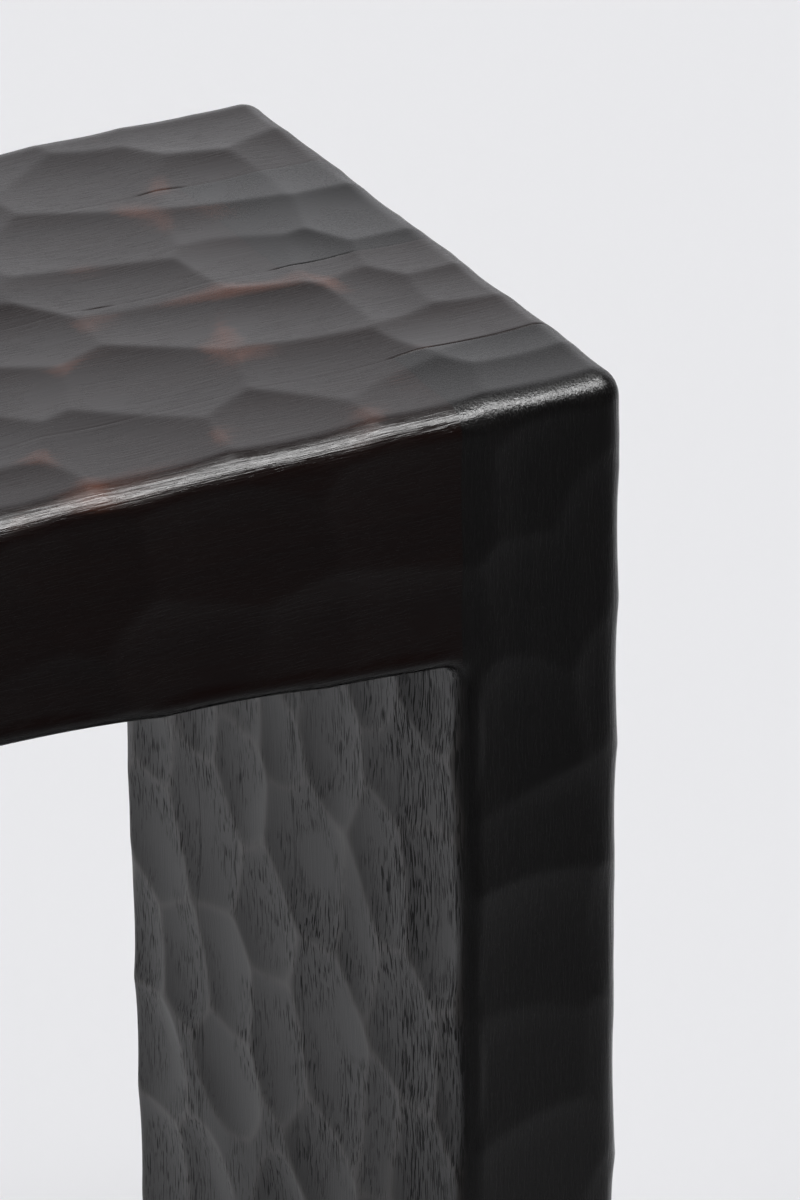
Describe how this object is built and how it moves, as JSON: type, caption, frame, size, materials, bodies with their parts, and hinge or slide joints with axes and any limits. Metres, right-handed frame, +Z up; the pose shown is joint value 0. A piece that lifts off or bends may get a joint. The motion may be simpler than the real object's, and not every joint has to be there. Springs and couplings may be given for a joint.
{
  "type": "waterfall bench",
  "caption": "Low bench whose thick, gently arched seat slab runs square into two slab legs, with finger-locked glued staves and gouge-carved dark faces.",
  "frame": {"origin": "on the floor, below the middle of the bench", "axes": "+X along the bench to the leg that the picture shows, +Y from the front edge to the back, +Z up"},
  "size_m": [1.2, 0.27, 0.48],
  "materials": {
    "seat_wood": "black-brown stain under a satin wax, gouge-carved",
    "leg_wood": "black-brown stain under a satin wax, gouge-carved",
    "glide_cup": "matt, moulded",
    "glide_felt": "pressed felt",
    "glide_screw": "zinc-plated"
  },
  "bodies": {
    "root": {"seat_front": "seat_wood", "seat_second": "seat_wood", "seat_third": "seat_wood", "seat_back": "seat_wood", "left_leg_front": "leg_wood", "left_leg_second": "leg_wood", "left_leg_third": "leg_wood", "left_leg_back": "leg_wood", "right_leg_front": "leg_wood", "right_leg_second": "leg_wood", "right_leg_third": "leg_wood", "right_leg_back": "leg_wood", "cup_left_front": "glide_cup", "cup_left_back": "glide_cup", "cup_right_front": "glide_cup", "cup_right_back": "glide_cup", "felt_left_front": "glide_felt", "felt_left_back": "glide_felt", "felt_right_front": "glide_felt", "felt_right_back": "glide_felt", "screw_left_front": "glide_screw", "screw_left_back": "glide_screw", "screw_right_front": "glide_screw", "screw_right_back": "glide_screw"}
  },
  "joints": []
}
